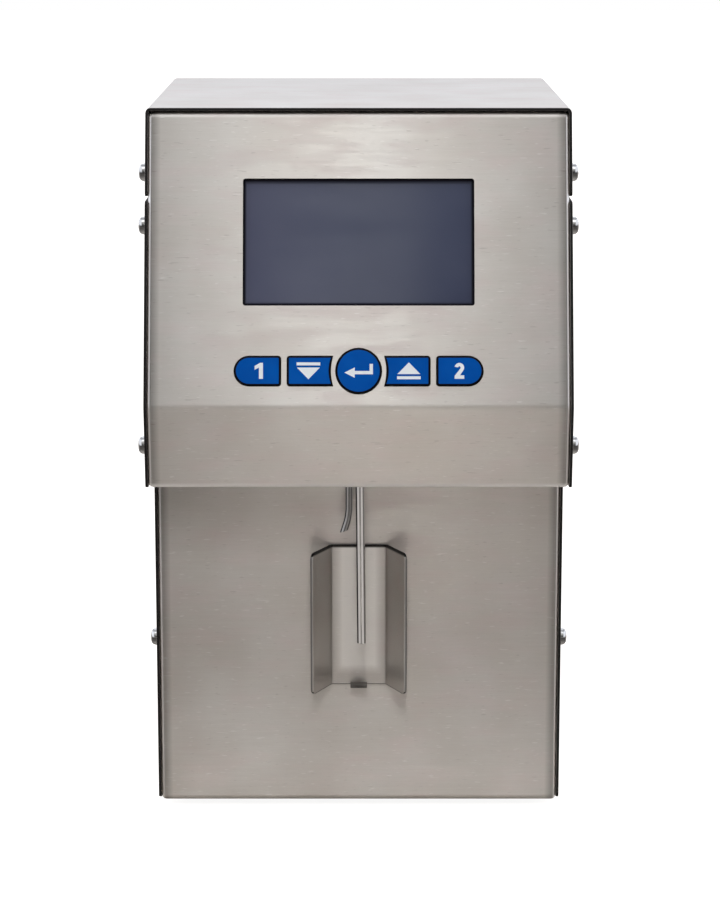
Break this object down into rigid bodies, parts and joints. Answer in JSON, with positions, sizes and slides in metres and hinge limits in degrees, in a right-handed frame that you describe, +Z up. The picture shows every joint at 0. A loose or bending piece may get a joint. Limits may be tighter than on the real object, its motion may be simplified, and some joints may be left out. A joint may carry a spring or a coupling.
{
  "type": "milk analyzer",
  "caption": "Bench milk analyzer in brushed folded sheet: sloping head with display and blue keys over a cup cradle and a hanging sample tube",
  "frame": {"origin": "middle of the object's footprint box, on the table, under the feet", "axes": "+Z up, the display and the cup cradle face -Y, +X is the object's right side as seen from the front"},
  "size_m": [0.1468, 0.1755, 0.2494],
  "materials": {
    "brushed_steel": "brushed stainless sheet, fine short grain",
    "screw_steel": "bright turned and plated steel",
    "tube_steel": "polished stainless",
    "alloy": "plain milled and bent aluminium",
    "rubber": "matt black rubber",
    "window_acrylic": "tinted glossy pane",
    "display_glass": "dark display, switched off",
    "key_blue": "glossy blue key cap with white marks",
    "board_green": "circuit board",
    "black_plastic": "black moulding",
    "white_plastic": "white acetal",
    "hose_silicone": "milky soft hose",
    "ribbon_grey": "flat grey cable"
  },
  "bodies": {
    "case": {"front_chassis": "brushed_steel", "head_fascia": "brushed_steel", "top_cover": "brushed_steel", "left_side_cover": "brushed_steel", "right_side_cover": "brushed_steel", "rear_panel": "brushed_steel", "cup_cradle": "brushed_steel", "screw_lid_front_left": "screw_steel", "screw_lid_front_right": "screw_steel", "screw_lid_rear_left": "screw_steel", "screw_lid_rear_right": "screw_steel", "screw_side_upper_left": "screw_steel", "screw_side_upper_right": "screw_steel", "screw_side_middle_left": "screw_steel", "screw_side_middle_right": "screw_steel", "screw_side_lower_left": "screw_steel", "screw_side_lower_right": "screw_steel", "screw_side_rear_upper_left": "screw_steel", "screw_side_rear_upper_right": "screw_steel", "screw_side_rear_lower_left": "screw_steel", "screw_side_rear_lower_right": "screw_steel", "display_bezel": "screw_steel", "data_port_1": "screw_steel", "data_port_2": "screw_steel", "sample_tube": "tube_steel", "return_tube": "tube_steel", "pump_motor": "tube_steel", "mounting_deck": "alloy", "measuring_cell": "alloy", "pump_bracket": "alloy", "foot_front_left": "rubber", "foot_front_right": "rubber", "foot_rear_left": "rubber", "foot_rear_right": "rubber", "display_window": "window_acrylic", "pump_cover": "window_acrylic", "display_glass": "display_glass", "display_board": "board_green", "keypad_board": "board_green", "main_board": "board_green", "tube_collar": "black_plastic", "transducer_left": "black_plastic", "transducer_right": "black_plastic", "pump_track": "black_plastic", "power_switch": "black_plastic", "power_inlet": "black_plastic", "intake_hose": "hose_silicone", "pump_hose": "hose_silicone", "ribbon_cable": "ribbon_grey"},
    "key_one": {"key_one": "key_blue"},
    "key_down": {"key_down": "key_blue"},
    "key_enter": {"key_enter": "key_blue"},
    "key_up": {"key_up": "key_blue"},
    "key_two": {"key_two": "key_blue"},
    "power_rocker": {"power_rocker": "black_plastic"},
    "pump_rotor": {"pump_rotor": "black_plastic"},
    "pump_roller_1": {"pump_roller_1": "white_plastic"},
    "pump_roller_2": {"pump_roller_2": "white_plastic"},
    "pump_roller_3": {"pump_roller_3": "white_plastic"}
  },
  "joints": [
    {"name": "key_one_press", "type": "slide", "parent": "case", "child": "key_one", "axis": [0, 0.9586, -0.2849], "range_m": [0, 0.0008], "stiffness_N_per_m": 1500, "springref_m": -0.0003},
    {"name": "key_down_press", "type": "slide", "parent": "case", "child": "key_down", "axis": [0, 0.9586, -0.2849], "range_m": [0, 0.0008], "stiffness_N_per_m": 1500, "springref_m": -0.0003},
    {"name": "key_enter_press", "type": "slide", "parent": "case", "child": "key_enter", "axis": [0, 0.9586, -0.2849], "range_m": [0, 0.0008], "stiffness_N_per_m": 1500, "springref_m": -0.0003},
    {"name": "key_up_press", "type": "slide", "parent": "case", "child": "key_up", "axis": [0, 0.9586, -0.2849], "range_m": [0, 0.0008], "stiffness_N_per_m": 1500, "springref_m": -0.0003},
    {"name": "key_two_press", "type": "slide", "parent": "case", "child": "key_two", "axis": [0, 0.9586, -0.2849], "range_m": [0, 0.0008], "stiffness_N_per_m": 1500, "springref_m": -0.0003},
    {"name": "power_rocker_tilt", "type": "hinge", "parent": "case", "child": "power_rocker", "pos_m": [0.0535, 0.08355, 0.065], "axis": [-1, 0, 0], "range_deg": [0, 18]},
    {"name": "pump_turn", "type": "hinge", "parent": "case", "child": "pump_rotor", "pos_m": [0, 0.03425, 0.1442], "axis": [1, 0, 0], "continuous": true},
    {"name": "pump_roller_1_spin", "type": "hinge", "parent": "pump_rotor", "child": "pump_roller_1", "pos_m": [0, 0.04525, 0.1442], "axis": [1, 0, 0], "continuous": true},
    {"name": "pump_roller_2_spin", "type": "hinge", "parent": "pump_rotor", "child": "pump_roller_2", "pos_m": [0, 0.02875, 0.15373], "axis": [1, 0, 0], "continuous": true},
    {"name": "pump_roller_3_spin", "type": "hinge", "parent": "pump_rotor", "child": "pump_roller_3", "pos_m": [0, 0.02875, 0.13467], "axis": [1, 0, 0], "continuous": true}
  ],
  "couplings": [
    {"joint": "pump_roller_1_spin", "follows": "pump_turn", "ratio": -3.2},
    {"joint": "pump_roller_2_spin", "follows": "pump_turn", "ratio": -3.2},
    {"joint": "pump_roller_3_spin", "follows": "pump_turn", "ratio": -3.2}
  ]
}
